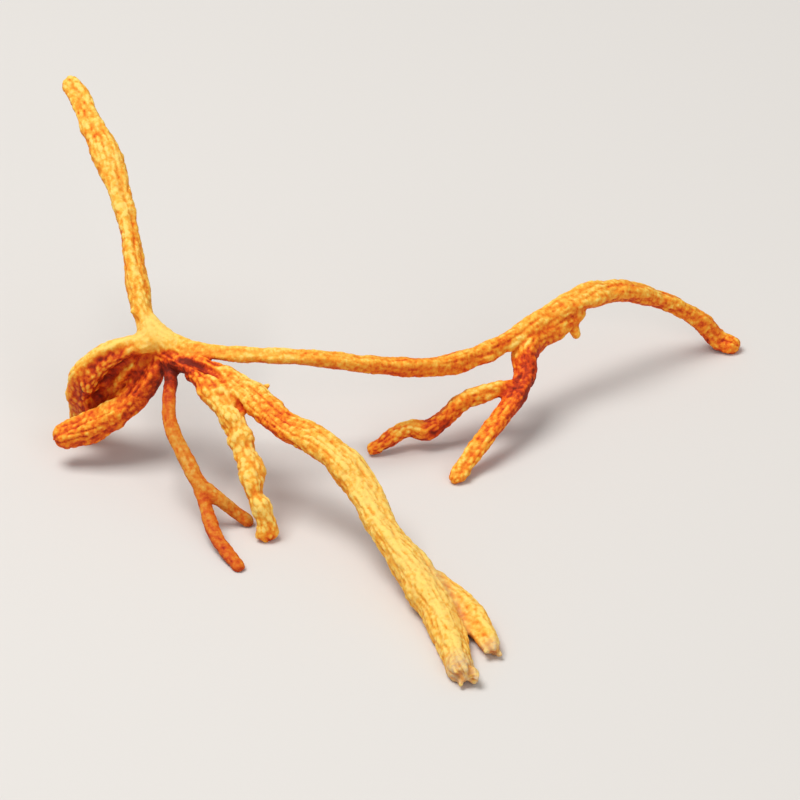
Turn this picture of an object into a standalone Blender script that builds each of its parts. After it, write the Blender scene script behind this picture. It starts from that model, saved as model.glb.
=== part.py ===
"""A dried cordyceps fruiting body, lying on a flat surface.

It grew as one branched piece. Each node is one branch, split where the piece forks. Every branch is a lofted
strand: a hand-chosen route with a radius at each point, and a dried skin with wandering flutes and lumps.
"""

import math
from collections import namedtuple

import bmesh
import bpy
import numpy as np

MM = 0.001  # routes and sizes below are in millimetres
CENTRE = (3.35, 17.85)  # middle of the piece in the routes' own x and y
RING_STEP = 1.1  # between two cross-sections
CURVE_POINTS = 400  # on the smooth curve through a route
SIDES = 12  # corners of a cross-section
CAP_TURNS = (25, 50, 72)  # degrees round an end at which its cap has a ring
CLEARANCE = 0.36  # what a cutter adds to a branch, so that about 0.3 is left between two that grow together

# A route's points are (x, y, z, radius). The surface that the piece lies on is z = 0.
STEM = (
    (8.4, -9.5, 0.8, 1.05),
    (7.0, -3.2, 0.95, 1.25),
    (5.6, 0.9, 1.7, 1.5),
    (4.1, 3.7, 2.5, 1.45),
    (2.1, 6.9, 3.7, 1.2),
    (0.8, 9.8, 4.8, 1.2),
    (-0.6, 12.1, 5.9, 1.4),
    (-3.0, 14.4, 7.05, 1.18),
    (-6.0, 16.4, 7.65, 1.18),
    (-8.5, 19.1, 8.6, 1.15),
    (-11.0, 21.2, 9.35, 0.9),
    (-14.0, 23.2, 9.4, 0.78),
    (-16.0, 25.2, 9.25, 0.8),
    (-16.8, 26.0, 9.5, 0.75),
)
BASE_LOBE = (
    (4.6, 2.9, 2.2, 0.9),
    (6.7, 1.8, 1.7, 1.05),
    (8.5, -0.2, 1.1, 1.05),
    (10.0, -3.5, 0.75, 0.9),
    (10.7, -5.7, 0.6, 0.65),
)
UPPER_BRANCH = (
    (-16.5, 25.4, 10.3, 0.95),
    (-17.1, 26.8, 11.1, 0.85),
    (-17.9, 29.3, 13.1, 0.9),
    (-18.6, 33.1, 15.8, 0.76),
    (-19.7, 36.6, 18.2, 1.0),
    (-20.9, 39.5, 20.1, 1.12),
    (-21.8, 41.3, 21.1, 0.92),
    (-22.6, 43.2, 22.2, 0.85),
    (-23.8, 45.0, 23.2, 0.75),
)
LONG_BRANCH = (
    (-17.0, 26.6, 10.9, 0.75),
    (-16.1, 25.4, 10.6, 0.85),
    (-14.6, 24.4, 10.1, 0.72),
    (-12.4, 23.7, 10.05, 0.68),
    (-9.7, 23.3, 10.0, 0.66),
    (-4.0, 23.8, 9.4, 0.68),
    (1.8, 25.3, 7.8, 0.75),
    (5.8, 26.7, 6.8, 0.85),
    (9.5, 28.8, 6.5, 0.85),
    (12.5, 31.1, 6.8, 0.8),
    (15.4, 33.5, 7.4, 0.88),
    (18.5, 35.7, 7.8, 1.05),
    (21.2, 37.7, 7.2, 0.95),
    (24.7, 39.4, 5.4, 0.78),
    (28.0, 40.3, 2.9, 0.8),
    (30.0, 40.4, 0.6, 0.9),
    (31.3, 39.8, 0.4, 0.7),
)
CURLED_CLUB = (
    (-16.5, 25.4, 10.0, 1.0),
    (-18.7, 24.7, 9.7, 1.1),
    (-20.4, 24.8, 8.6, 1.35),
    (-21.6, 25.1, 7.1, 1.6),
    (-22.1, 25.7, 5.2, 1.55),
    (-22.2, 26.4, 3.2, 1.35),
    (-22.0, 27.1, -0.4, 1.1),
)
CURL_WEB = (
    (-17.7, 24.9, 8.9, 0.95),
    (-18.7, 25.2, 7.7, 1.0),
    (-19.5, 25.5, 6.3, 1.0),
    (-20.3, 25.8, 4.9, 1.05),
    (-21.2, 26.3, 3.6, 0.9),
)
LOWER_CLUB = (
    (-16.2, 25.6, 9.4, 0.85),
    (-16.5, 24.6, 7.8, 0.95),
    (-17.9, 23.6, 5.9, 1.0),
    (-19.3, 23.1, 4.8, 1.05),
    (-21.2, 23.0, 3.6, 1.2),
    (-23.0, 22.9, 2.8, 1.1),
    (-24.6, 22.7, 2.2, 0.8),
)
KNOBBED_BRANCH = (
    (-13.6, 22.6, 9.0, 0.7),
    (-12.5, 20.7, 9.2, 0.7),
    (-11.4, 19.6, 8.4, 0.95),
    (-9.8, 17.3, 7.15, 1.0),
    (-9.0, 15.6, 5.7, 0.9),
    (-8.5, 14.5, 4.8, 0.95),
    (-8.3, 13.1, 3.6, 0.85),
    (-7.6, 12.0, 2.2, 0.8),
    (-7.0, 11.3, -0.1, 0.8),
)
THIN_BRANCH = (
    (-15.7, 25.0, 8.9, 0.5),
    (-15.1, 23.0, 8.1, 0.5),
    (-15.2, 20.4, 7.6, 0.52),
    (-15.1, 18.7, 6.6, 0.54),
    (-13.9, 16.4, 4.8, 0.56),
    (-12.4, 14.3, 3.15, 0.6),
    (-10.9, 13.8, 2.15, 0.52),
    (-9.6, 13.8, 0.95, 0.5),
    (-8.4, 13.4, 0.15, 0.45),
)
THIN_PRONG = (
    (-13.0, 15.1, 3.7, 0.5),
    (-12.2, 13.0, 2.2, 0.5),
    (-11.5, 10.8, 1.2, 0.5),
    (-9.2, 6.6, 0.2, 0.45),
)
HOOKED_BRANCH = (
    (18.3, 35.1, 7.3, 0.65),
    (16.1, 33.2, 6.5, 0.85),
    (14.4, 31.9, 6.1, 0.95),
    (13.55, 30.6, 5.7, 1.12),
    (13.55, 29.3, 4.7, 0.94),
    (12.95, 27.4, 3.8, 0.82),
    (11.7, 25.4, 3.0, 0.78),
    (10.2, 23.2, 2.0, 0.78),
    (8.45, 20.9, 0.8, 0.74),
    (7.55, 19.5, 0.3, 0.6),
)
SIDE_PRONG = (
    (12.9, 28.2, 4.1, 0.5),
    (10.7, 27.3, 4.1, 0.8),
    (8.5, 26.6, 3.6, 0.72),
    (6.8, 25.7, 2.4, 0.8),
    (5.4, 25.2, 1.65, 0.85),
    (4.2, 25.3, 1.75, 0.75),
    (2.0, 24.4, 0.9, 0.62),
    (0.7, 23.9, 0.3, 0.55),
)

# flat: how much wider than thick; flutes: ridges round it and their depth; twist: their turn in radians a
# millimetre; lump: swelling and pinching along it, at this spacing in millimetres. Depths are shares of the
# radius.
Skin = namedtuple("Skin", "flat flutes depth twist lump spacing")
STOUT = Skin(flat=0.08, flutes=3, depth=0.09, twist=0.10, lump=0.07, spacing=4.7)
SLENDER = Skin(flat=0.06, flutes=3, depth=0.10, twist=0.22, lump=0.08, spacing=3.7)
CLUB = Skin(flat=0.10, flutes=4, depth=0.07, twist=0.06, lump=0.07, spacing=2.9)
KNOBBLY = Skin(flat=0.05, flutes=2, depth=0.12, twist=0.90, lump=0.20, spacing=2.7)
THREAD = Skin(flat=0.16, flutes=2, depth=0.05, twist=0.30, lump=0.05, spacing=3.3)


def spline(points, count):
    """count rows, evenly spaced along a smooth curve through the points."""
    knots = np.concatenate([[0], np.cumsum(np.linalg.norm(np.diff(points[:, :3], axis=0), axis=1))])
    slopes = np.gradient(points, knots, axis=0)
    at = np.linspace(0, knots[-1], count)
    start = np.clip(np.searchsorted(knots, at, side="right") - 1, 0, len(points) - 2)
    length = (knots[start + 1] - knots[start])[:, None]
    t = (at - knots[start])[:, None] / length
    return (
        (2 * t**3 - 3 * t**2 + 1) * points[start]
        + (t**3 - 2 * t**2 + t) * length * slopes[start]
        + (3 * t**2 - 2 * t**3) * points[start + 1]
        + (t**3 - t**2) * length * slopes[start + 1]
    )


def places_along(length, first_radius, last_radius):
    """Where the rings are along a branch, and the share of the radius at each. Both ends are rounded."""
    turns = np.radians(CAP_TURNS)
    middle_length = length - first_radius - last_radius
    middle = first_radius + np.linspace(0, middle_length, max(2, round(middle_length / RING_STEP)) + 1)
    into_start = first_radius * (1 - np.sin(turns[::-1]))
    into_end = length - last_radius * (1 - np.sin(turns))
    shares = np.concatenate([np.cos(turns[::-1]), np.ones(len(middle)), np.cos(turns)])
    return np.concatenate([into_start, middle, into_end]), shares


def carried_frames(centres):
    """A pair of unit vectors across the branch at each point, each pair turned as little as possible."""
    tangents = np.gradient(centres, axis=0)
    tangents /= np.linalg.norm(tangents, axis=1)[:, None]
    upward = np.array([0.0, 0.0, 1.0])
    normals = []
    for tangent in tangents:
        upward = upward - tangent * upward.dot(tangent)
        upward = upward / np.linalg.norm(upward)
        normals.append(upward)
    normals = np.array(normals)
    return normals, np.cross(tangents, normals)


def skin_shares(skin, along, angles):
    """The skin's distance from the route, as a share of the radius, at each ring and corner."""
    along = along[:, None]
    width = -skin.flat * np.cos(2 * angles)
    flutes = skin.depth * np.cos(skin.flutes * angles + skin.twist * along)
    beat = 2 * math.pi * along / skin.spacing
    uneven = beat + 1.2 * np.sin(0.37 * beat)
    one_sided = 0.65 + 0.35 * np.cos(angles + 0.61 * beat)
    lumps = skin.lump * np.sin(uneven) * one_sided
    return 1 + width + flutes + lumps


def strand_mesh(name, route, skin, spare=0.0):
    """A closed lofted strand. It is spare thicker all round, and flat where it lies on the surface."""
    dense = spline(np.array(route), CURVE_POINTS)
    gone = np.concatenate([[0], np.cumsum(np.linalg.norm(np.diff(dense[:, :3], axis=0), axis=1))])
    places, shares = places_along(gone[-1], route[0][3], route[-1][3])
    rows = np.stack([np.interp(places, gone, dense[:, k]) for k in range(4)], axis=1)
    centres, radii = rows[:, :3], rows[:, 3] * shares + spare
    normals, across = carried_frames(centres)
    angles = 2 * math.pi * np.arange(SIDES) / SIDES
    reach = radii[:, None] * skin_shares(skin, places, angles)
    points = (
        centres[:, None]
        + reach[..., None] * np.cos(angles)[None, :, None] * normals[:, None]
        + reach[..., None] * np.sin(angles)[None, :, None] * across[:, None]
    )
    ends = [dense[0, :3] - spare * unit(dense[1, :3] - dense[0, :3])]
    ends.append(dense[-1, :3] + spare * unit(dense[-1, :3] - dense[-2, :3]))
    return loft(name, points, ends)


def unit(vector):
    return vector / np.linalg.norm(vector)


def loft(name, rings, ends):
    """The mesh through the rings, closed to a point at both ends, in metres and centred on the origin."""
    shift = np.array([*CENTRE, 0.0])
    bm = bmesh.new()

    def vert(point):
        placed = (point - shift) * MM
        return bm.verts.new((placed[0], placed[1], max(placed[2], 0.0)))

    made = [[vert(point) for point in ring] for ring in rings]
    for lower, upper in zip(made, made[1:]):
        for k in range(SIDES):
            bm.faces.new((lower[k - 1], lower[k], upper[k], upper[k - 1]))
    for ring, end in ((made[0], vert(ends[0])), (made[-1][::-1], vert(ends[1]))):
        for k in range(SIDES):
            bm.faces.new((ring[k], ring[k - 1], end))
    bmesh.ops.recalc_face_normals(bm, faces=bm.faces)
    bmesh.ops.triangulate(bm, faces=bm.faces)
    mesh = bpy.data.meshes.new(name)
    bm.to_mesh(mesh)
    bm.free()
    mesh.shade_smooth()
    return mesh


def hidden(name, mesh):
    """A cutter or a second body to join, left out of the render."""
    helper = bpy.data.objects.new(name, mesh)
    bpy.context.scene.collection.objects.link(helper)
    helper.hide_render = True
    helper.display_type = "WIRE"
    return helper


def combine(branch, helper, operation):
    modifier = branch.modifiers.new(helper.name, "BOOLEAN")
    modifier.operation = operation
    modifier.object = helper


def dried_skin(name, colour, roughness):
    """The plain material of one branch."""
    material = bpy.data.materials.new(name)
    material.use_nodes = True
    shader = material.node_tree.nodes["Principled BSDF"]
    shader.inputs["Base Color"].default_value = (*colour, 1.0)
    shader.inputs["Roughness"].default_value = roughness
    shader.inputs["Metallic"].default_value = 0.0
    return material


# A branch, its route and skin, its colour, and the branches that it is cut back from, where it meets them.
Branch = namedtuple("Branch", "name route skin colour meets")
BRANCHES = (
    Branch("stem", STEM, STOUT, (0.86, 0.50, 0.13), ()),
    Branch("upper_branch", UPPER_BRANCH, SLENDER, (0.84, 0.44, 0.10), ("stem",)),
    Branch("long_branch", LONG_BRANCH, SLENDER, (0.80, 0.33, 0.05), ("stem", "upper_branch")),
    Branch("curled_club", CURLED_CLUB, CLUB, (0.72, 0.33, 0.07), ("stem", "upper_branch", "long_branch")),
    Branch("lower_club", LOWER_CLUB, CLUB, (0.78, 0.22, 0.02), ("stem", "curled_club", "long_branch")),
    Branch("knobbed_branch", KNOBBED_BRANCH, KNOBBLY, (0.82, 0.42, 0.09), ("stem", "long_branch")),
    Branch(
        "thin_branch",
        THIN_BRANCH,
        THREAD,
        (0.70, 0.28, 0.05),
        ("stem", "long_branch", "lower_club", "knobbed_branch"),
    ),
    Branch("hooked_branch", HOOKED_BRANCH, SLENDER, (0.76, 0.28, 0.04), ("long_branch",)),
    Branch("side_prong", SIDE_PRONG, SLENDER, (0.72, 0.16, 0.02), ("hooked_branch",)),
)
# A short lobe, web or prong that is fused to its branch.
FUSED = {"stem": (BASE_LOBE, STOUT), "curled_club": (CURL_WEB, CLUB), "thin_branch": (THIN_PRONG, THREAD)}


def build():
    for old in list(bpy.data.objects):
        bpy.data.objects.remove(old)
    cutters = {}
    for branch in BRANCHES:
        node = bpy.data.objects.new(branch.name, strand_mesh(branch.name, branch.route, branch.skin))
        bpy.context.scene.collection.objects.link(node)
        node.data.materials.append(dried_skin(branch.name, branch.colour, roughness=0.8))
        strands = {branch.name: (branch.route, branch.skin)}
        if branch.name in FUSED:
            lobe_name = branch.name + "_lobe"
            strands[lobe_name] = FUSED[branch.name]
            combine(node, hidden(lobe_name, strand_mesh(lobe_name, *FUSED[branch.name])), "UNION")
        for other in branch.meets:
            for cutter in cutters[other]:
                combine(node, cutter, "DIFFERENCE")
        cutters[branch.name] = [
            hidden(name + "_clearance", strand_mesh(name + "_clearance", *strand, CLEARANCE))
            for name, strand in strands.items()
        ]


build()
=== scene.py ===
"""The looks of a dried cordyceps fruiting body: one wrinkled skin over the fixed frame of its branches."""

import math
from collections import namedtuple

import bpy
import numpy as np
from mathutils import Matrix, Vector, kdtree, noise


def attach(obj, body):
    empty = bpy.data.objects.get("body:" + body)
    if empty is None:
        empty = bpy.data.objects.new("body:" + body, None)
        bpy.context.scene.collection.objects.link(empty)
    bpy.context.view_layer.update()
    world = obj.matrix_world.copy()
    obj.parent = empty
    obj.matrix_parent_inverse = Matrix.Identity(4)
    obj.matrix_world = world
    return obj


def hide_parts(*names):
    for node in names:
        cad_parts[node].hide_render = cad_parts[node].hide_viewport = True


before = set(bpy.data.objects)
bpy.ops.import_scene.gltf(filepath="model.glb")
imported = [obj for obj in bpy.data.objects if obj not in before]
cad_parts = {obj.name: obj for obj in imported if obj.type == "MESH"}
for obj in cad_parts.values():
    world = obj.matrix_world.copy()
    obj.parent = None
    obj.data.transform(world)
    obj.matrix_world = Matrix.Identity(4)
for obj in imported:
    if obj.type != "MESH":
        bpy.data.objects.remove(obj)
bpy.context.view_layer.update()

MM = 0.001  # routes and the skin's sizes are in millimetres until the mesh is finished
CENTRE = (3.35, 17.85)  # the frame's origin in the routes' own x and y

# --- The branches, as the frame has them: (x, y, z, radius), resting on z = 0 ---
STEM = (
    (8.4, -9.5, 0.8, 1.05),
    (7.0, -3.2, 0.95, 1.25),
    (5.6, 0.9, 1.7, 1.5),
    (4.1, 3.7, 2.5, 1.45),
    (2.1, 6.9, 3.7, 1.2),
    (0.8, 9.8, 4.8, 1.2),
    (-0.6, 12.1, 5.9, 1.4),
    (-3.0, 14.4, 7.05, 1.18),
    (-6.0, 16.4, 7.65, 1.18),
    (-8.5, 19.1, 8.6, 1.15),
    (-11.0, 21.2, 9.35, 0.9),
    (-14.0, 23.2, 9.4, 0.78),
    (-16.0, 25.2, 9.25, 0.8),
    (-16.8, 26.0, 9.5, 0.75),
)
BASE_LOBE = (
    (4.6, 2.9, 2.2, 0.9),
    (6.7, 1.8, 1.7, 1.05),
    (8.5, -0.2, 1.1, 1.05),
    (10.0, -3.5, 0.75, 0.9),
    (10.7, -5.7, 0.6, 0.65),
)
UPPER_BRANCH = (
    (-16.5, 25.4, 10.3, 0.95),
    (-17.1, 26.8, 11.1, 0.85),
    (-17.9, 29.3, 13.1, 0.9),
    (-18.6, 33.1, 15.8, 0.76),
    (-19.7, 36.6, 18.2, 1.0),
    (-20.9, 39.5, 20.1, 1.12),
    (-21.8, 41.3, 21.1, 0.92),
    (-22.6, 43.2, 22.2, 0.85),
    (-23.8, 45.0, 23.2, 0.75),
)
LONG_BRANCH = (
    (-17.0, 26.6, 10.9, 0.75),
    (-16.1, 25.4, 10.6, 0.85),
    (-14.6, 24.4, 10.1, 0.72),
    (-12.4, 23.7, 10.05, 0.68),
    (-9.7, 23.3, 10.0, 0.66),
    (-4.0, 23.8, 9.4, 0.68),
    (1.8, 25.3, 7.8, 0.75),
    (5.8, 26.7, 6.8, 0.85),
    (9.5, 28.8, 6.5, 0.85),
    (12.5, 31.1, 6.8, 0.8),
    (15.4, 33.5, 7.4, 0.88),
    (18.5, 35.7, 7.8, 1.05),
    (21.2, 37.7, 7.2, 0.95),
    (24.7, 39.4, 5.4, 0.78),
    (28.0, 40.3, 2.9, 0.8),
    (30.0, 40.4, 0.6, 0.9),
    (31.3, 39.8, 0.4, 0.7),
)
CURLED_CLUB = (
    (-16.5, 25.4, 10.0, 1.0),
    (-18.7, 24.7, 9.7, 1.1),
    (-20.4, 24.8, 8.6, 1.35),
    (-21.6, 25.1, 7.1, 1.6),
    (-22.1, 25.7, 5.2, 1.55),
    (-22.2, 26.4, 3.2, 1.35),
    (-22.0, 27.1, -0.4, 1.1),
)
CURL_WEB = (
    (-17.7, 24.9, 8.9, 0.95),
    (-18.7, 25.2, 7.7, 1.0),
    (-19.5, 25.5, 6.3, 1.0),
    (-20.3, 25.8, 4.9, 1.05),
    (-21.2, 26.3, 3.6, 0.9),
)
LOWER_CLUB = (
    (-16.2, 25.6, 9.4, 0.85),
    (-16.5, 24.6, 7.8, 0.95),
    (-17.9, 23.6, 5.9, 1.0),
    (-19.3, 23.1, 4.8, 1.05),
    (-21.2, 23.0, 3.6, 1.2),
    (-23.0, 22.9, 2.8, 1.1),
    (-24.6, 22.7, 2.2, 0.8),
)
KNOBBED_BRANCH = (
    (-13.6, 22.6, 9.0, 0.7),
    (-12.5, 20.7, 9.2, 0.7),
    (-11.4, 19.6, 8.4, 0.95),
    (-9.8, 17.3, 7.15, 1.0),
    (-9.0, 15.6, 5.7, 0.9),
    (-8.5, 14.5, 4.8, 0.95),
    (-8.3, 13.1, 3.6, 0.85),
    (-7.6, 12.0, 2.2, 0.8),
    (-7.0, 11.3, -0.1, 0.8),
)
THIN_BRANCH = (
    (-15.7, 25.0, 8.9, 0.5),
    (-15.1, 23.0, 8.1, 0.5),
    (-15.2, 20.4, 7.6, 0.52),
    (-15.1, 18.7, 6.6, 0.54),
    (-13.9, 16.4, 4.8, 0.56),
    (-12.4, 14.3, 3.15, 0.6),
    (-10.9, 13.8, 2.15, 0.52),
    (-9.6, 13.8, 0.95, 0.5),
    (-8.4, 13.4, 0.15, 0.45),
)
THIN_PRONG = (
    (-13.0, 15.1, 3.7, 0.5),
    (-12.2, 13.0, 2.2, 0.5),
    (-11.5, 10.8, 1.2, 0.5),
    (-9.2, 6.6, 0.2, 0.45),
)
HOOKED_BRANCH = (
    (18.3, 35.1, 7.3, 0.65),
    (16.1, 33.2, 6.5, 0.85),
    (14.4, 31.9, 6.1, 0.95),
    (13.55, 30.6, 5.7, 1.12),
    (13.55, 29.3, 4.7, 0.94),
    (12.95, 27.4, 3.8, 0.82),
    (11.7, 25.4, 3.0, 0.78),
    (10.2, 23.2, 2.0, 0.78),
    (8.45, 20.9, 0.8, 0.74),
    (7.55, 19.5, 0.3, 0.6),
)
SIDE_PRONG = (
    (12.9, 28.2, 4.1, 0.5),
    (10.7, 27.3, 4.1, 0.8),
    (8.5, 26.6, 3.6, 0.72),
    (6.8, 25.7, 2.4, 0.8),
    (5.4, 25.2, 1.65, 0.85),
    (4.2, 25.3, 1.75, 0.75),
    (2.0, 24.4, 0.9, 0.62),
    (0.7, 23.9, 0.3, 0.55),
)

# The broad skin of each kind of branch, as in the frame. flat: how much wider than thick. flutes: ridges
# round it, and depth: how deep they are. twist: their turn in radians a millimetre. lump: swelling and
# pinching along it, at this spacing in millimetres. flat, depth and lump are shares of the radius.
Skin = namedtuple("Skin", "flat flutes depth twist lump spacing")
STOUT = Skin(flat=0.08, flutes=3, depth=0.09, twist=0.10, lump=0.07, spacing=4.7)
SLENDER = Skin(flat=0.06, flutes=3, depth=0.10, twist=0.22, lump=0.08, spacing=3.7)
CLUB = Skin(flat=0.10, flutes=4, depth=0.07, twist=0.06, lump=0.07, spacing=2.9)
KNOBBLY = Skin(flat=0.05, flutes=2, depth=0.12, twist=0.90, lump=0.20, spacing=2.7)
THREAD = Skin(flat=0.16, flutes=2, depth=0.05, twist=0.30, lump=0.05, spacing=3.3)
PLAIN = Skin(flat=0, flutes=0, depth=0, twist=0, lump=0, spacing=1)

# Small buds and spurs, each from inside its branch to its tip, with (x, y, z, radius) at each point.
SPURS = (
    ((-8.3, 19.5, 8.7, 0.50), (-7.6, 19.9, 9.0, 0.34), (-7.0, 20.2, 9.15, 0.26)),
    ((-0.6, 12.6, 6.0, 0.70), (0.1, 13.6, 6.8, 0.50)),
    ((-17.7, 28.2, 12.2, 0.50), (-18.6, 28.1, 12.4, 0.38)),
    ((-17.5, 27.4, 11.6, 0.50), (-18.4, 27.0, 11.8, 0.34)),
    ((-20.6, 39.0, 19.8, 0.60), (-19.7, 39.0, 20.2, 0.32)),
    ((17.3, 34.2, 6.7, 0.50), (17.8, 33.2, 5.4, 0.28)),
    ((13.7, 31.0, 6.0, 0.75), (13.2, 30.6, 6.5, 0.68)),
    ((-8.5, 14.4, 4.6, 0.50), (-7.7, 14.5, 5.1, 0.30)),
    ((-9.8, 17.1, 6.95, 0.50), (-10.6, 16.8, 6.75, 0.34)),
    ((5.6, 25.3, 1.8, 0.45), (5.7, 24.9, 2.6, 0.36)),
)
# Fibres left standing where the stem and its lobe were torn off.
FIBRES = (
    ((7.7, -8.6, 1.2, 0.40), (7.7, -9.4, 1.3, 0.30), (7.7, -9.8, 1.2, 0.16)),
    ((8.2, -8.6, 1.4, 0.40), (8.4, -9.5, 1.5, 0.34), (8.6, -9.9, 1.5, 0.24)),
    ((8.9, -8.5, 1.1, 0.40), (9.2, -9.4, 1.1, 0.36), (9.4, -10.2, 0.9, 0.16)),
    ((8.3, -8.5, 0.9, 0.70), (8.5, -9.5, 0.9, 0.55), (8.7, -10.0, 0.8, 0.36)),
    ((8.9, -8.6, 0.6, 0.40), (9.1, -9.5, 0.5, 0.36), (9.2, -9.8, 0.4, 0.24)),
    ((8.0, -8.8, 0.5, 0.40), (8.1, -9.8, 0.5, 0.34), (8.0, -10.3, 0.4, 0.17)),
    ((10.2, -4.9, 0.7, 0.35), (10.1, -5.8, 0.8, 0.30), (10.0, -6.2, 0.8, 0.20)),
    ((10.5, -4.7, 0.9, 0.40), (10.7, -5.6, 1.0, 0.34), (10.8, -6.1, 1.0, 0.20)),
    ((10.6, -4.7, 0.5, 0.35), (11.0, -5.6, 0.5, 0.26), (11.3, -6.1, 0.4, 0.16)),
)
# Skin stretched from branch to branch where they grew together.
WEBS = (
    (
        (-17.4, 27.8, 11.7, 0.45),
        (-16.3, 26.2, 11.0, 0.60),
        (-14.9, 25.0, 10.5, 0.55),
        (-13.0, 24.1, 10.2, 0.40),
    ),
    ((-15.9, 25.1, 8.6, 0.50), (-14.9, 23.9, 8.6, 0.45), (-13.6, 22.6, 8.9, 0.45)),
    ((-12.6, 21.5, 9.2, 0.60), (-11.3, 20.5, 9.1, 0.85), (-10.2, 19.3, 8.7, 0.85), (-9.2, 18.3, 8.1, 0.50)),
    ((-17.6, 24.8, 9.80, 0.40), (-16.4, 24.9, 9.85, 0.50), (-14.8, 24.4, 9.90, 0.42)),
    ((-18.9, 25.6, 8.3, 0.60), (-17.4, 25.3, 8.7, 0.65), (-15.6, 24.9, 8.9, 0.60)),
    ((-16.9, 25.2, 9.0, 0.50), (-17.2, 24.9, 8.2, 0.55), (-17.7, 24.5, 7.2, 0.50), (-18.6, 24.3, 6.2, 0.45)),
    ((-18.6, 24.3, 6.2, 0.45), (-19.6, 24.2, 5.3, 0.45), (-20.8, 24.4, 4.4, 0.45), (-21.9, 24.6, 3.6, 0.40)),
)
# Lines on the skin: red creases between strands that grew together, their red painted shade in the recesses,
# and pale
# stretches of painted light, also on the shoulder of the hooked branch. reach: how far a line goes to its
# sides, and depth:
# how deep it is, in millimetres. tone: what is added to the colour in its middle, painted shade above 0,
# painted light below.
Line = namedtuple("Line", "points reach depth tone")
LINES = (
    Line(((-18.8, 24.6, 8.6), (-17.4, 24.6, 8.9), (-15.9, 24.4, 9.0)), 0.70, 0.14, -0.20),
    Line(
        ((-15.0, 23.9, 9.2), (-14.0, 23.6, 9.4), (-11.7, 22.6, 9.45), (-10.4, 22.1, 9.4)),
        reach=0.65,
        depth=0.28,
        tone=0.26,
    ),
    Line(((-14.2, 22.9, 9.7), (-12.6, 21.7, 9.8), (-11.4, 20.7, 9.8)), 0.48, 0.28, 0.46),
    Line(((-11.2, 20.4, 9.8), (-10.6, 19.4, 9.6), (-10.0, 18.5, 9.0), (-9.4, 17.9, 8.2)), 0.36, 0.20, 0.12),
    Line(((-14.6, 23.4, 10.0), (-14.0, 23.3, 10.1), (-13.4, 23.1, 10.1)), 0.50, 0.00, -0.45),
    Line(((-11.9, 22.3, 10.1), (-11.5, 21.9, 10.1), (-10.9, 21.7, 10.2)), 0.48, 0.14, 0.48),
    Line(((-13.4, 21.4, 9.7), (-12.9, 21.2, 9.7), (-12.4, 20.9, 9.8)), 0.42, 0.08, 0.22),
    Line(((-18.3, 24.0, 9.4), (-19.2, 23.8, 9.6), (-20.2, 23.9, 9.2), (-21.2, 23.9, 8.3)), 0.80, 0.08, 0.26),
    Line(((13.5, 30.5, 6.9), (13.0, 30.1, 6.8), (12.7, 30.1, 6.2)), 0.72, -0.10, -0.46),
    Line(((12.6, 29.9, 5.9), (12.6, 29.4, 5.3), (12.7, 28.9, 4.8)), 0.62, 0.00, -0.26),
)

# tones: the colour, from 0, cream, to 1, deep orange red. The deepest, at the roots of branches under a
# fork, are painted shade, and the palest, on the crest of the main fork, are partly a painted highlight.
# dots: height of the round grains,
# and ridges: depth of the wrinkles, in millimetres. The last field says how much browner and darker the skin
# is, part its own tan and part painted shade. Values are at even steps along the branch, and a single number
# holds all along it.
Branch = namedtuple("Branch", "name route skin tones dots ridges dull", defaults=(0.0,))
BRANCHES = (
    Branch(
        "stem",
        STEM,
        STOUT,
        tones=(0.16, 0.12, 0.09, 0.08, 0.07, 0.09, 0.11, 0.15, 0.28, 0.64, 0.26, 0.38, 1.15, 0.30),
        dots=(0.03, 0.05, 0.07),
        ridges=0.12,
    ),
    Branch("base_lobe", BASE_LOBE, STOUT, tones=(0.20, 0.26, 0.20), dots=(0.03, 0.02), ridges=0.11),
    Branch(
        "upper_branch",
        UPPER_BRANCH,
        SLENDER,
        tones=(0.06, 0.34, 0.22, 0.30, 0.30),
        dots=(0.04, 0.06),
        ridges=0.09,
    ),
    Branch(
        "long_branch",
        LONG_BRANCH,
        SLENDER,
        tones=(-0.10, 0.34, 0.26, 0.36, 0.42, 0.48, 0.50, 0.44, 0.36, 0.40, 0.42, 0.56, 0.70),
        dots=(0.02, 0.03, 0.06),
        ridges=(0.05, 0.06, 0.08, 0.10, 0.09),
    ),
    Branch(
        "curled_club",
        CURLED_CLUB,
        CLUB,
        tones=(0.00, 0.14, 0.32, 0.34, 0.40),
        dots=(0.03, 0.09, 0.10),
        ridges=0.05,
    ),
    Branch("curl_web", CURL_WEB, CLUB, tones=(0.62, 0.60), dots=(0.06, 0.08), ridges=0.07, dull=0.1),
    Branch(
        "lower_club",
        LOWER_CLUB,
        CLUB,
        tones=(0.70, 0.92, 0.84, 0.60, 0.54, 0.66, 0.66),
        dots=(0.03, 0.05, 0.06),
        ridges=0.12,
    ),
    Branch(
        "knobbed_branch",
        KNOBBED_BRANCH,
        KNOBBLY,
        tones=(1.20, 0.80, 0.18, 0.20, 0.24, 0.22, 0.28, 0.14, 0.50),
        dots=(0.08, 0.10),
        ridges=0.08,
    ),
    Branch(
        "thin_branch",
        THIN_BRANCH,
        THREAD,
        tones=(1.15, 1.25, 0.60, 0.40, 0.42, 0.30, 0.52),
        dots=(0.02, 0.03),
        ridges=0.05,
        dull=0.9,
    ),
    Branch(
        "thin_prong",
        THIN_PRONG,
        THREAD,
        tones=(0.46, 0.70, 0.74),
        dots=(0.02, 0.03),
        ridges=0.05,
        dull=0.9,
    ),
    Branch(
        "hooked_branch",
        HOOKED_BRANCH,
        SLENDER,
        tones=(0.42, 0.44, 0.50, 0.74, 0.98, 1.00, 0.80, 0.60, 0.58, 0.42, 0.56),
        dots=(0.04, 0.06),
        ridges=0.09,
    ),
    Branch(
        "side_prong",
        SIDE_PRONG,
        SLENDER,
        tones=(1.20, 0.42, 0.42, 0.54, 0.90, 0.36, 0.74, 0.66),
        dots=(0.05, 0.08),
        ridges=0.08,
    ),
)
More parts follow.
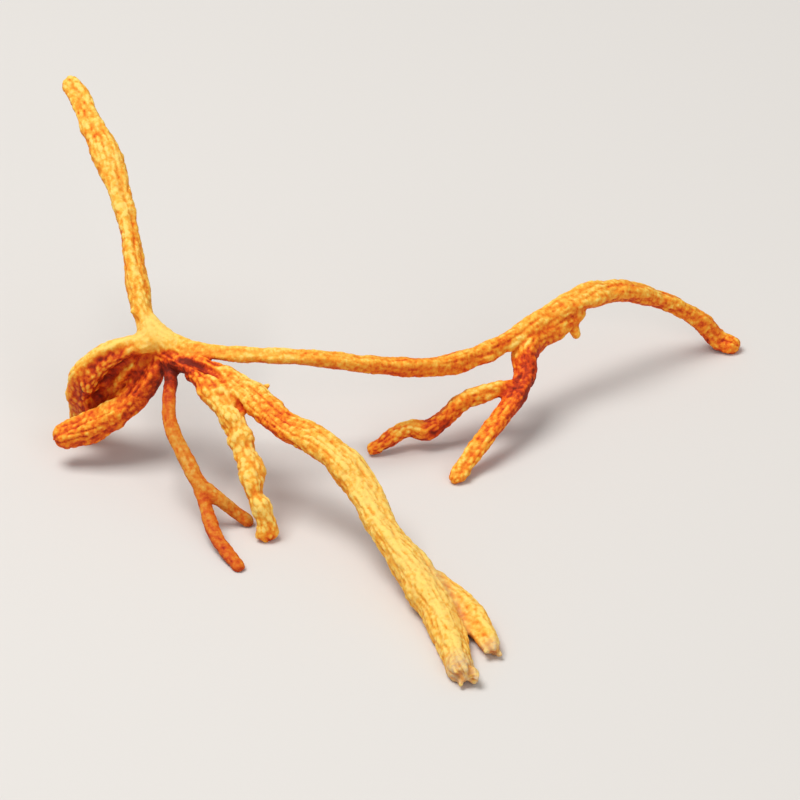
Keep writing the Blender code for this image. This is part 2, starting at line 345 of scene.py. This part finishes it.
# Where branches part: (x, y, z) and how far the growing-together reaches.
FORKS = (
    (-16.3, 25.4, 10.3, 3.4),
    (14.8, 32.9, 6.4, 2.0),
    (12.6, 28.1, 4.1, 1.7),
    (5.6, 1.2, 1.8, 2.4),
    (-12.7, 14.7, 3.5, 1.1),
    (-20.8, 25.0, 4.4, 1.6),
)

# How finely the strands are drawn and joined.
CURVE_POINTS = 400  # on the smooth curve through a route
SIDES = 36  # corners of a cross-section
RING_STEP = 0.30  # from one cross-section to the next
CAP_TURNS = (15, 30, 45, 60, 75)  # degrees round a rounded end, where it has cross-sections
VOXEL = 0.125  # cell of the remesh that joins the strands
TRIANGLES = 192000  # of the finished skin

# Rounds of smoothing, and the strength of each.
STEPS_OFF = (2, 0.5)  # takes off the remesh's steps
FORKS_FILLED = (50, 0.6)  # fills the forks, at this strength in their middle
WRINKLES_OFF = (12, 0.6)  # gives the plain skin that valleys and ridges are measured from

# How each vertex is measured against the branches.
MEASURED_POINTS = 240  # on the curve through a route
LINE_POINTS = 60  # on the curve through a line's points
WEIGHT_CONTRAST = 6  # how suddenly one branch takes over from the next
LEAST_WEIGHT = 0.02  # of a branch whose pattern still counts
BRANCH_SHIFT = 40  # from one branch's part of a pattern to the next one's

# The hollow side of the curled club: sunk, and given a deeper, browner tone that is painted shade.
CURL_INSIDE = (-17.6, 20.0, 6.5)  # the point that it faces
HOLLOW_STARTS = (0.04, 0.22)  # shares of the club's length, from no hollow to all of it
HOLLOW_ENDS = (0.56, 0.80)  # and from all of it to none
HOLLOW_RIM = (-0.40, 0.25)  # cosines of the angle off CURL_INSIDE, from no hollow to all of it
HOLLOW_DEPTH = 0.35
HOLLOW_SHADE_TONE = 0.46  # painted shade, added to the club's tone
HOLLOW_GRAIN_SHADE_TONE = -0.38  # added as well on top of its grains, which have less of the painted shade
# painted shade, added to how much browner and darker the skin is
HOLLOW_SHADE_DULL = 0.4

# The torn ends of the stem and its lobe, and the groove between them.
STEM_TORN = (0.6, 3.2)  # from its end, where the tearing starts to fade and is gone
LOBE_TORN = (0.85, 1.0)  # shares of its length, from no tearing to all of it
GROOVE_TORN = 2.4  # times how much a vertex belongs to the stem, times how much to its lobe

# The layers of wrinkles and grains. size: of one form, in millimetres. stretch: how many times longer it is
# along the branch. seed: sets it apart from the others. weight: its share of the branch's ridges, or the
# height of FINE in millimetres.
Layer = namedtuple("Layer", "size stretch seed weight", defaults=(1.0, 0, 1.0))
BROAD = Layer(size=0.95, stretch=5.0, seed=1, weight=0.9)
VALLEYS = Layer(size=0.62, stretch=6.0, seed=2, weight=-0.75)
CREASES = Layer(size=0.34, stretch=3.0, seed=3, weight=-0.25)
LUMPS = Layer(size=1.7, seed=4, weight=0.9)
CRINKLES = Layer(size=0.55, seed=5, weight=0.5)
FINE = Layer(size=0.26, seed=6, weight=0.026)
STREAKS = Layer(size=0.45, stretch=7.0, seed=7)
GRAINS = Layer(size=0.45, stretch=1.3)
HOLLOW_GRAINS = Layer(size=0.60)
GRAIN_REACH = 0.62  # of a grain's round top, as a share of its size
FURROW_NARROWNESS = 3.0  # the higher, the more smooth ground between the furrows
FURROW_SHARPNESS = 1.6  # the higher, the sharper their bottoms
SEED_SHIFT = 31.7  # from one seed's part of the noise to the next one's
LEAST_GRAIN = 0.015  # added to the height of every branch's grains
FULL_GRAIN = 0.09  # height at which the grains show fully in the colour
RELIEF_RANGE = 0.15  # of depth, from ridge to valley, that the colour's painted shade follows
RELIEF_MIDDLE = -0.01  # depth in the middle of that range


def distance_along(rows):
    """How far each row is from the first one, along the line through their x, y and z."""
    steps = np.linalg.norm(np.diff(rows[:, :3], axis=0), axis=1)
    return np.concatenate([[0], np.cumsum(steps)])


def spline(points, count):
    """count rows, evenly spaced along a smooth curve through the points."""
    knots = distance_along(points)
    slopes = np.gradient(points, knots, axis=0)
    at = np.linspace(0, knots[-1], count)
    start = np.clip(np.searchsorted(knots, at, side="right") - 1, 0, len(points) - 2)
    length = (knots[start + 1] - knots[start])[:, None]
    t = (at - knots[start])[:, None] / length
    return (
        (2 * t**3 - 3 * t**2 + 1) * points[start]
        + (t**3 - 2 * t**2 + t) * length * slopes[start]
        + (3 * t**2 - 2 * t**3) * points[start + 1]
        + (t**3 - t**2) * length * slopes[start + 1]
    )


def carried_frames(centres):
    """A pair of unit vectors across the branch at each point, each pair turned as little as possible."""
    tangents = np.gradient(centres, axis=0)
    tangents /= np.linalg.norm(tangents, axis=1)[:, None]
    upward = np.array([0.0, 0.0, 1.0])
    normals = []
    for tangent in tangents:
        upward = upward - tangent * upward.dot(tangent)
        upward = upward / np.linalg.norm(upward)
        normals.append(upward)
    normals = np.array(normals)
    return normals, np.cross(tangents, normals)


def skin_shares(skin, along, angles):
    """The skin's distance from the route, as a share of the radius."""
    width = -skin.flat * np.cos(2 * angles)
    flutes = skin.depth * np.cos(skin.flutes * angles + skin.twist * along)
    # Lumps come at uneven distances and stand out more on one side, which goes round the branch.
    beat = 2 * math.pi * along / skin.spacing
    uneven = beat + 1.2 * np.sin(0.37 * beat)
    one_sided = 0.65 + 0.35 * np.cos(angles + 0.61 * beat)
    lumps = skin.lump * np.sin(uneven) * one_sided
    return 1 + width + flutes + lumps


def places_along(length, first_radius, last_radius):
    """Where the rings are along a branch, and the share of the radius at each. Both ends are rounded."""
    turns = np.radians(CAP_TURNS)
    middle_length = length - first_radius - last_radius
    middle = first_radius + np.linspace(0, middle_length, max(2, round(middle_length / RING_STEP)) + 1)
    into_start = first_radius * (1 - np.sin(turns[::-1]))
    into_end = length - last_radius * (1 - np.sin(turns))
    shares = np.concatenate([np.cos(turns[::-1]), np.ones(len(middle)), np.cos(turns)])
    return np.concatenate([into_start, middle, into_end]), shares


def loft_faces(rings):
    """The faces from ring to ring, and to the start and end points that follow the rings."""
    faces = []
    for i in range(rings - 1):
        low, high = i * SIDES, (i + 1) * SIDES
        for k in range(SIDES):
            j = (k + 1) % SIDES
            faces.append((low + k, low + j, high + j, high + k))
    start, end, top = rings * SIDES, rings * SIDES + 1, (rings - 1) * SIDES
    for k in range(SIDES):
        j = (k + 1) % SIDES
        faces.append((j, k, start))
        faces.append((top + k, top + j, end))
    return faces


def strand(route, skin):
    """Points and faces of a closed lofted strand."""
    dense = spline(np.array(route), CURVE_POINTS)
    gone = distance_along(dense)
    places, shares = places_along(gone[-1], route[0][3], route[-1][3])
    rows = np.stack([np.interp(places, gone, dense[:, k]) for k in range(4)], axis=1)
    centres, radii = rows[:, :3], rows[:, 3] * shares
    normals, across = carried_frames(centres)
    angles = 2 * math.pi * np.arange(SIDES) / SIDES
    reach = radii[:, None] * skin_shares(skin, places[:, None], angles)
    rings = (
        centres[:, None]
        + reach[..., None] * np.cos(angles)[None, :, None] * normals[:, None]
        + reach[..., None] * np.sin(angles)[None, :, None] * across[:, None]
    )
    points = np.concatenate([rings.reshape(-1, 3), dense[:1, :3], dense[-1:, :3]])
    return points, loft_faces(len(places))


def joined_mesh(shapes):
    """One mesh of all the shapes, still overlapping."""
    points, faces, base = [], [], 0
    for shape_points, shape_faces in shapes:
        points.append(shape_points)
        faces.extend(tuple(i + base for i in face) for face in shape_faces)
        base += len(shape_points)
    mesh = bpy.data.meshes.new("fruiting_body")
    mesh.from_pydata(np.concatenate(points).tolist(), [], faces)
    return mesh


def reshape(body, kind, **settings):
    """Gives the body the mesh that one modifier makes of it, and takes the modifier off again."""
    modifier = body.modifiers.new(kind, kind)
    for name, value in settings.items():
        setattr(modifier, name, value)
    graph = bpy.context.evaluated_depsgraph_get()
    modified = body.evaluated_get(graph)
    mesh = bpy.data.meshes.new_from_object(modified, preserve_all_data_layers=True, depsgraph=graph)
    body.modifiers.clear()
    body.data = mesh


def one_skin(mesh):
    """A body with one closed skin round all the shapes, with no inner walls."""
    body = bpy.data.objects.new("fruiting_body", mesh)
    bpy.context.scene.collection.objects.link(body)
    reshape(body, "REMESH", mode="VOXEL", voxel_size=VOXEL)
    return body


def thin_out(body):
    """Brings the skin down to TRIANGLES, fewest where it is flattest."""
    count = sum(len(face.vertices) - 2 for face in body.data.polygons)
    reshape(body, "DECIMATE", decimate_type="COLLAPSE", ratio=min(1.0, TRIANGLES / count))


def points_of(mesh):
    """Where the mesh's vertices are."""
    points = np.empty(len(mesh.vertices) * 3, np.float64)
    mesh.vertices.foreach_get("co", points)
    return points.reshape(-1, 3)


def normals_of(mesh, points):
    """Moves the mesh's vertices to the points, and returns their normals there."""
    mesh.vertices.foreach_set("co", points.ravel())
    mesh.update()
    normals = np.empty(len(mesh.vertices) * 3, np.float32)
    mesh.vertex_normals.foreach_get("vector", normals)
    return normals.reshape(-1, 3).astype(np.float64)


def off_the_ground(points):
    """The points, with none of them below z = 0."""
    return np.column_stack([points[:, :2], np.maximum(points[:, 2], 0.0)])


class Neighbours:
    """Averages a value over the vertices that share an edge with each vertex."""

    def __init__(self, mesh):
        edges = np.empty(len(mesh.edges) * 2, np.int64)
        mesh.edges.foreach_get("vertices", edges)
        edges = edges.reshape(-1, 2)
        self.start = np.concatenate([edges[:, 0], edges[:, 1]])
        self.end = np.concatenate([edges[:, 1], edges[:, 0]])
        self.size = len(mesh.vertices)
        self.count = np.bincount(self.start, minlength=self.size)

    def mean(self, values):
        """values is one column, or several side by side."""
        columns = values if values.ndim == 2 else values[:, None]
        sums = []
        for column in columns.T:
            sums.append(np.bincount(self.start, weights=column[self.end], minlength=self.size))
        means = np.stack(sums, axis=1) / self.count[:, None]
        return means if values.ndim == 2 else means[:, 0]

    def smooth(self, values, rounds, strength):
        """strength is one number, or one for each vertex."""
        weight = strength[:, None] if np.ndim(strength) and values.ndim == 2 else strength
        for _ in range(rounds):
            values = values + weight * (self.mean(values) - values)
        return values


def fork_nearness(points):
    """1 in the middle of a fork, falling smoothly to 0 where it ends."""
    near = np.zeros(len(points))
    for x, y, z, reach in FORKS:
        distance = np.linalg.norm(points - (x, y, z), axis=1) / reach
        near = np.maximum(near, np.clip(1 - distance**2, 0, 1) ** 2)
    return near


class Strands:
    """For each vertex, how much it belongs to each branch, and its place along and round that branch."""

    def __init__(self, points):
        self.share, self.along, self.angle, self.radius = [], [], [], []
        distances = [self.measure(branch, points) for branch in BRANCHES]
        nearest = np.min(distances, axis=0)
        nearness = [np.exp(-WEIGHT_CONTRAST * (distance - nearest)) for distance in distances]
        total = np.sum(nearness, axis=0)
        self.weights = [near / total for near in nearness]

    def measure(self, branch, points):
        """Notes the points' places along and round the branch. Returns their distance from it, in radii."""
        dense = spline(np.array(branch.route), MEASURED_POINTS)
        gone = distance_along(dense)
        normals, across = carried_frames(dense[:, :3])
        tree = kdtree.KDTree(len(dense))
        for i, row in enumerate(dense):
            tree.insert(row[:3], i)
        tree.balance()
        nearest = np.array([tree.find(point)[1] for point in points])
        offset = points - dense[nearest, :3]
        self.share.append(gone[nearest] / gone[-1])
        self.along.append(gone[nearest])
        self.radius.append(dense[nearest, 3])
        right = np.einsum("ij,ij->i", offset, across[nearest])
        up = np.einsum("ij,ij->i", offset, normals[nearest])
        self.angle.append(np.arctan2(right, up))
        return np.linalg.norm(offset, axis=1) / dense[nearest, 3]

    def blend(self, value):
        """The weighted mean over the branches of value(number, branch)."""
        return np.sum([self.weights[n] * value(n, branch) for n, branch in enumerate(BRANCHES)], axis=0)

    def profile(self, field):
        """A field of the branches, read at each vertex's place along them."""

        def at(n, branch):
            steps = np.atleast_1d(getattr(branch, field))
            return np.interp(self.share[n], np.linspace(0, 1, len(steps)), steps)

        return self.blend(at)

    def straightened(self, n, stretch):
        """Where the vertices would be if branch n were straight, and shorter by the factor stretch."""
        radius, angle = self.radius[n], self.angle[n]
        along = self.along[n] / stretch + BRANCH_SHIFT * n
        return np.stack([radius * np.cos(angle), radius * np.sin(angle), along], axis=1)

    def pattern(self, field, layer):
        """The blended value of field(points, layer) in the straightened space of each branch."""

        def at(n, branch):
            near = self.weights[n] > LEAST_WEIGHT
            value = np.zeros(len(near))
            value[near] = field(self.straightened(n, layer.stretch)[near], layer)
            return value

        return self.blend(at)


def number_of(name):
    """The place of the branch of that name among the BRANCHES."""
    return [branch.name for branch in BRANCHES].index(name)


def noise_at(points, layer):
    """Smooth noise from about -1 to 1."""
    shifted = points / layer.size + SEED_SHIFT * layer.seed
    return np.array([noise.noise(Vector(point)) for point in shifted])


def domes_at(points, layer):
    """Close-set round grains, from 0 in the gaps to 1 on top."""
    nearest = np.array([noise.voronoi(Vector(point))[0][0] for point in points / layer.size])
    return np.clip(1 - (nearest / GRAIN_REACH) ** 2, 0, 1)


def furrow_at(points, layer):
    """Sharp valleys, 1 at the bottom, with smooth ground between them."""
    return np.clip(1 - FURROW_NARROWNESS * np.abs(noise_at(points, layer)), 0, 1) ** FURROW_SHARPNESS


def smooth_step(values, low, high):
    """0 below low, 1 above high, and smoothly from one to the other between them."""
    t = np.clip((values - low) / (high - low), 0, 1)
    return t * t * (3 - 2 * t)


def relief(strands, points, hollow):
    """How far each vertex stands out from the smooth strand, in millimetres, and its share of a grain."""
    broad = BROAD.weight * strands.pattern(noise_at, BROAD)
    valleys = VALLEYS.weight * strands.pattern(furrow_at, VALLEYS)
    creases = CREASES.weight * strands.pattern(furrow_at, CREASES)
    lengthwise = (1 - hollow) * (broad + valleys + creases)
    lumps = LUMPS.weight * noise_at(points, LUMPS)
    crinkles = CRINKLES.weight * noise_at(points, CRINKLES)
    wrinkles = strands.profile("ridges") * (lengthwise + lumps + crinkles)

    dots = strands.profile("dots")
    grains = strands.pattern(domes_at, GRAINS)
    grains = grains + hollow * (domes_at(points, HOLLOW_GRAINS) - grains)
    standing = (dots + LEAST_GRAIN) * (grains - 0.5)
    fine = FINE.weight * noise_at(points, FINE)
    return wrinkles + standing + fine, grains * np.clip(dots / FULL_GRAIN, 0, 1)


def lines_at(points):
    """The depth of the lines on the skin, and the painted light and shade that they add to the tone, at each
    vertex.
    """
    depth, tone = np.zeros(len(points)), np.zeros(len(points))
    for line in LINES:
        route = spline(np.array(line.points), LINE_POINTS)
        distance = np.min(np.linalg.norm(points[:, None] - route[None], axis=2), axis=1) / line.reach
        near = np.clip(1 - distance**2, 0, 1)
        depth += line.depth * near
        tone += line.tone * near
    return depth, tone


def hollow_of_curl(strands, points):
    """1 on the sunken inner side of the curled club, falling to 0 at its rim."""
    n = number_of("curled_club")
    share = strands.share[n]
    route = spline(np.array(CURLED_CLUB), MEASURED_POINTS)[:, :3]
    last = MEASURED_POINTS - 1
    centres = route[np.clip((share * last).astype(int), 0, last)]
    outward = points - centres
    inward = np.array(CURL_INSIDE) - centres
    lengths = np.linalg.norm(outward, axis=1) * np.linalg.norm(inward, axis=1)
    facing = np.einsum("ij,ij->i", outward, inward) / (lengths + 1e-9)  # never divides by 0
    lengthwise = smooth_step(share, *HOLLOW_STARTS) * (1 - smooth_step(share, *HOLLOW_ENDS))
    return strands.weights[n] * lengthwise * smooth_step(facing, *HOLLOW_RIM)


def torn_share(strands):
    """1 at the torn ends of the stem and its lobe, and less in the groove where the two part."""
    stem, lobe = number_of("stem"), number_of("base_lobe")
    stem_end = strands.weights[stem] * (1 - smooth_step(strands.along[stem], *STEM_TORN))
    lobe_end = strands.weights[lobe] * smooth_step(strands.share[lobe], *LOBE_TORN)
    groove = GROOVE_TORN * strands.weights[stem] * strands.weights[lobe]
    return np.clip(stem_end + lobe_end + groove, 0, 1)


def keep(mesh, name, values):
    """Keeps a value for each vertex, for the material to read."""
    attribute = mesh.attributes.new(name, "FLOAT", "POINT")
    attribute.data.foreach_set("value", values.astype(np.float32))


def wrinkle(mesh):
    """Grows the forks together, wrinkles the skin, and keeps what the material needs to know of it."""
    neighbours = Neighbours(mesh)
    points = neighbours.smooth(points_of(mesh), *STEPS_OFF)
    rounds, strength = FORKS_FILLED
    points = neighbours.smooth(points, rounds, strength * fork_nearness(points))
    strands = Strands(points)
    normals = normals_of(mesh, points)

    hollow = hollow_of_curl(strands, points)
    height, grains = relief(strands, points, hollow)
    line_depth, line_light_and_shade = lines_at(points)
    height = height - HOLLOW_DEPTH * hollow - line_depth
    points = off_the_ground(points + normals * height[:, None])
    normals = normals_of(mesh, points)
    sunk = np.einsum("ij,ij->i", neighbours.smooth(points, *WRINKLES_OFF) - points, normals)

    # Painted shade in the curl's hollow, less of it on its grains.
    hollow_shade = hollow * (HOLLOW_SHADE_TONE + HOLLOW_GRAIN_SHADE_TONE * grains)
    keep(mesh, "tone", strands.profile("tones") + hollow_shade + line_light_and_shade)
    # How high the skin stands, for the painted shade in its valleys.
    keep(mesh, "relief", np.clip(0.5 - (sunk - RELIEF_MIDDLE) / RELIEF_RANGE, 0, 1))
    keep(mesh, "streak", 0.5 + 0.5 * strands.pattern(noise_at, STREAKS))
    keep(mesh, "grains", grains)
    keep(mesh, "torn", torn_share(strands))
    keep(mesh, "dull", strands.profile("dull") + HOLLOW_SHADE_DULL * hollow)
    # How far the skin faces down, for the painted shade below and the paler top.
    keep(mesh, "underside", np.clip(0.5 - 0.5 * normals[:, 2], 0, 1))


def put_in_frame(mesh):
    """Brings the mesh from the routes' millimetres to the frame's metres."""
    points = off_the_ground(points_of(mesh) - (*CENTRE, 0.0))
    mesh.vertices.foreach_set("co", (points * MM).ravel())
    mesh.update()
    mesh.shade_smooth()


def fruiting_body():
    """The whole piece: the branches in one skin, grown together at the forks and wrinkled by drying."""
    shapes = [strand(branch.route, branch.skin) for branch in BRANCHES]
    shapes += [strand(route, PLAIN) for route in SPURS + FIBRES + WEBS]
    body = one_skin(joined_mesh(shapes))
    wrinkle(body.data)
    thin_out(body)
    put_in_frame(body.data)
    return body


# --- The material ---
def linear(red, green, blue):
    """A colour given in the 0 to 255 values of a screen, as the shader wants it."""
    shares = [value / 255 for value in (red, green, blue)]
    return tuple(s / 12.92 if s <= 0.04045 else ((s + 0.055) / 1.055) ** 2.4 for s in shares)


CREAM = linear(247, 210, 110)
YELLOW = linear(245, 188, 72)
AMBER = linear(242, 153, 38)
ORANGE = linear(234, 114, 17)
RED_ORANGE = linear(210, 69, 7)
RUSSET = linear(174, 51, 7)
RUST = linear(126, 33, 7)
STRAW = linear(206, 178, 138)
SKIN_COLOURS = (
    (0.0, CREAM),
    (0.15, YELLOW),
    (0.34, AMBER),
    (0.52, ORANGE),
    (0.70, RED_ORANGE),
    (0.85, RUSSET),
    (1.0, RUST),
)
TONES_SHARE = 0.8  # of SKIN_COLOURS that the tones from 0 to 1 take up
VALLEY_SHADE_TINTS = ((0.0, (0.80, 0.56, 0.38)), (1.0, (1, 1, 1)))  # painted shade in the valleys, from the deepest skin to the highest
# Tint where the skin is dulled: part its own tan, part painted shade.
DULL_AND_SHADE_TINT = (0.70, 0.56, 0.55)

# The factor and the shift that turn one value into another.
MOTTLED_BY_TONE = (1.5, 0.50)
STRAW_BY_BLOTCHES = (2.0, -0.4)
HEIGHT_BY_RELIEF = (1.3, 0.1)
ROUGHNESS_BY_PATCHES = (0.25, 0.55)

UNDERSIDE_PAINTED_SHADE = 0.50  # painted shade: how much deeper the tone is on the underside than on top, and paler facing up
UNDERSIDE_STARTS = 0.28  # turn from the top, 0, to the underside, 1, that leaves the tone as it is
SPECULAR = 0.22
SCATTERING = 0.12
SCATTERING_DEPTH = 0.0004  # in metres
SCATTERING_SHARES = (1.0, 0.35, 0.10)  # of that depth, for red, green and blue

# Sizes of the marks on the skin, in metres.
PATCHES = 0.0012
BLOTCHES = 0.00042
GRIT = 0.00028
SPECKLES = 0.00016
FINE_FIBRES = 0.00013
FIBRE_HEIGHT = 0.00006
FIBRE_STRENGTH = 0.6  # how strongly that height shows


class Nodes:
    """A small builder for a material's node tree."""

    def __init__(self, name):
        self.material = bpy.data.materials.new(name)
        self.material.use_nodes = True
        self.tree = self.material.node_tree
        self.shader = self.tree.nodes["Principled BSDF"]

    def put(self, source, target):
        """Gives the target socket a link, or a value that is the same everywhere."""
        if isinstance(source, bpy.types.NodeSocket):
            self.tree.links.new(source, target)
        elif source is not None:
            target.default_value = source

    def attribute(self, name):
        """A value kept at each vertex."""
        node = self.tree.nodes.new("ShaderNodeAttribute")
        node.attribute_name = name
        return node.outputs["Fac"]

    def math(self, operation, a, b=None, c=None, clamp=False):
        node = self.tree.nodes.new("ShaderNodeMath")
        node.operation = operation
        node.use_clamp = clamp
        for value, socket in zip((a, b, c), node.inputs):
            self.put(value, socket)
        return node.outputs[0]

    def noise(self, size, detail, roughness=0.6):
        """Noise with features of the given size in metres."""
        coordinates = self.tree.nodes.new("ShaderNodeTexCoord")
        node = self.tree.nodes.new("ShaderNodeTexNoise")
        self.tree.links.new(coordinates.outputs["Object"], node.inputs["Vector"])
        node.inputs["Scale"].default_value = 1 / size
        node.inputs["Detail"].default_value = detail
        node.inputs["Roughness"].default_value = roughness
        return node.outputs["Fac"]

    def ramp(self, value, stops):
        """The colour at the value, between stops of (position, colour)."""
        node = self.tree.nodes.new("ShaderNodeValToRGB")
        elements = node.color_ramp.elements
        while len(elements) < len(stops):
            elements.new(0.5)
        for element, (position, colour) in zip(elements, stops):
            element.position = position
            element.color = (*colour, 1.0)
        self.put(value, node.inputs["Fac"])
        return node.outputs["Color"]

    def mix(self, amount, a, b, blend="MIX"):
        """a where the amount is 0. Where it is 1, b, or a times b if blend is MULTIPLY."""
        node = self.tree.nodes.new("ShaderNodeMix")
        node.data_type = "RGBA"
        node.blend_type = blend
        for value, socket in ((amount, node.inputs[0]), (a, node.inputs[6]), (b, node.inputs[7])):
            self.put(value, socket)
        return node.outputs[2]

    def bump(self, height, strength, distance):
        node = self.tree.nodes.new("ShaderNodeBump")
        node.inputs["Strength"].default_value = strength
        node.inputs["Distance"].default_value = distance
        self.put(height, node.inputs["Height"])
        return node.outputs["Normal"]


def mottled(nodes, tone, marks):
    """The tone, shifted by marks of (value, its middle, strength). Cream skin is shifted half as much."""
    mottle = 0.0
    for value, middle, strength in marks:
        offset = nodes.math("SUBTRACT", value, middle)
        mottle = nodes.math("MULTIPLY_ADD", offset, strength, mottle)
    share = nodes.math("MULTIPLY_ADD", tone, *MOTTLED_BY_TONE, clamp=True)
    return nodes.math("MULTIPLY_ADD", mottle, share, tone)


def skin_colour(nodes, relief_share, patches, blotches):
    """Painted shade: deeper below and darker in the valleys, paler on top. Straw coloured where torn,
    browner and darker where dulled.
    """
    marks = (
        (nodes.attribute("streak"), 0.5, 0.32),
        (patches, 0.5, 0.70),
        (blotches, 0.5, 0.80),
        (nodes.noise(GRIT, detail=1.0), 0.5, 0.45),
        (nodes.noise(SPECKLES, detail=2.0), 0.5, 0.22),
        # Painted shade and light: deeper tone in the valleys, paler on the ridges.
        (relief_share, 0.5, -0.50),
        (nodes.attribute("grains"), 0.3, -0.26),
    )
    shade = mottled(nodes, nodes.attribute("tone"), marks)
    # Painted light and shade: the tone is deeper where the skin faces down and paler where it faces up.
    below = nodes.math("SUBTRACT", nodes.attribute("underside"), UNDERSIDE_STARTS)
    shade = nodes.math("MULTIPLY_ADD", below, UNDERSIDE_PAINTED_SHADE, shade)
    colour = nodes.ramp(nodes.math("MULTIPLY", shade, TONES_SHARE, clamp=True), SKIN_COLOURS)

    blotched = nodes.math("MULTIPLY_ADD", blotches, *STRAW_BY_BLOTCHES, clamp=True)
    straw_share = nodes.math("MULTIPLY", nodes.attribute("torn"), blotched)
    colour = nodes.mix(straw_share, colour, (*STRAW, 1.0))
    # Painted shade: the valleys are darkened.
    height = nodes.math("MULTIPLY_ADD", relief_share, *HEIGHT_BY_RELIEF, clamp=True)
    colour = nodes.mix(1.0, colour, nodes.ramp(height, VALLEY_SHADE_TINTS), "MULTIPLY")
    # Browner and darker where dulled: the thin branches' own tan, and painted shade there and in the curl's
    # hollow.
    return nodes.mix(nodes.attribute("dull"), colour, (*DULL_AND_SHADE_TINT, 1.0), "MULTIPLY")


def dried_skin():
    """Matte, fibrous skin: cream where it is thick, orange in the arms, deep orange red at the clubs."""
    nodes = Nodes("dried_skin")
    relief_share = nodes.attribute("relief")
    patches = nodes.noise(PATCHES, detail=3.0)
    blotches = nodes.noise(BLOTCHES, detail=2.0)
    rough = nodes.math("MULTIPLY_ADD", patches, *ROUGHNESS_BY_PATCHES)
    fibres = nodes.noise(FINE_FIBRES, detail=3.0, roughness=0.7)

    inputs = nodes.shader.inputs
    nodes.put(skin_colour(nodes, relief_share, patches, blotches), inputs["Base Color"])
    nodes.put(SPECULAR, inputs["Specular IOR Level"])
    nodes.put(rough, inputs["Roughness"])
    nodes.put(SCATTERING, inputs["Subsurface Weight"])
    nodes.put(SCATTERING_DEPTH, inputs["Subsurface Scale"])
    nodes.put(SCATTERING_SHARES, inputs["Subsurface Radius"])
    nodes.put(nodes.bump(fibres, FIBRE_STRENGTH, FIBRE_HEIGHT), inputs["Normal"])
    return nodes.material


def plain(name, colour, roughness):
    """A material that is the same everywhere."""
    nodes = Nodes(name)
    nodes.put((*colour, 1.0), nodes.shader.inputs["Base Color"])
    nodes.put(roughness, nodes.shader.inputs["Roughness"])
    return nodes.material


# --- The floor, the light and the camera, in metres ---
FLOOR_REACH = 1.5  # from the middle of the floor to its sides
FLOOR_COLOUR = (0.66, 0.65, 0.64)
SKY_COLOUR = (1.0, 0.98, 0.95)
SKY_STRENGTH = 0.40
LAMP_COLOUR = (1.0, 0.97, 0.93)
ELEVATION = math.radians(32)  # from which the piece is seen
CAMERA_DISTANCE = 0.75
VIEW_WIDTH = 0.0640  # what the frame takes in at the piece
AIM = Vector((0.0, 0.0010, 0.0085))


def soft_light(name, place, size, power):
    """A square lamp that faces the piece."""
    light = bpy.data.lights.new(name, "AREA")
    light.shape = "SQUARE"
    light.size = size
    light.energy = power
    light.color = LAMP_COLOUR
    lamp = bpy.data.objects.new(name, light)
    bpy.context.scene.collection.objects.link(lamp)
    lamp.location = place
    lamp.rotation_euler = (-Vector(place)).to_track_quat("-Z", "Y").to_euler()


def stage():
    """A plain pale floor, a broad soft light overhead and a weak one from the front."""
    mesh = bpy.data.meshes.new("floor")
    r = FLOOR_REACH
    mesh.from_pydata([(-r, -r, 0), (r, -r, 0), (r, r, 0), (-r, r, 0)], [], [(0, 1, 2, 3)])
    floor = bpy.data.objects.new("floor", mesh)
    bpy.context.scene.collection.objects.link(floor)
    mesh.materials.append(plain("pale_floor", FLOOR_COLOUR, roughness=0.9))

    world = bpy.data.worlds.new("studio")
    world.use_nodes = True
    background = world.node_tree.nodes["Background"]
    background.inputs["Color"].default_value = (*SKY_COLOUR, 1.0)
    background.inputs["Strength"].default_value = SKY_STRENGTH
    bpy.context.scene.world = world
    soft_light("overhead", place=(-0.16, 0.02, 0.45), size=0.26, power=1.95)
    soft_light("front_fill", place=(0.20, -0.45, 0.25), size=0.30, power=0.75)


def camera():
    """Looks down on the piece from the front, from so far that it shows hardly any perspective."""
    data = bpy.data.cameras.new("camera")
    data.sensor_width = 36.0
    data.lens = data.sensor_width * CAMERA_DISTANCE / VIEW_WIDTH
    data.clip_start = 0.01
    lens = bpy.data.objects.new("camera", data)
    bpy.context.scene.collection.objects.link(lens)
    back = Vector((0.0, -math.cos(ELEVATION), math.sin(ELEVATION)))
    lens.location = AIM + CAMERA_DISTANCE * back
    lens.rotation_euler = (-back).to_track_quat("-Z", "Y").to_euler()
    bpy.context.scene.camera = lens


body = fruiting_body()
body.data.materials.append(dried_skin())
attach(body, "root")
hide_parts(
    "stem",
    "upper_branch",
    "long_branch",
    "curled_club",
    "lower_club",
    "knobbed_branch",
    "thin_branch",
    "hooked_branch",
    "side_prong",
)
stage()
camera()
bpy.context.scene.view_settings.view_transform = "Standard"
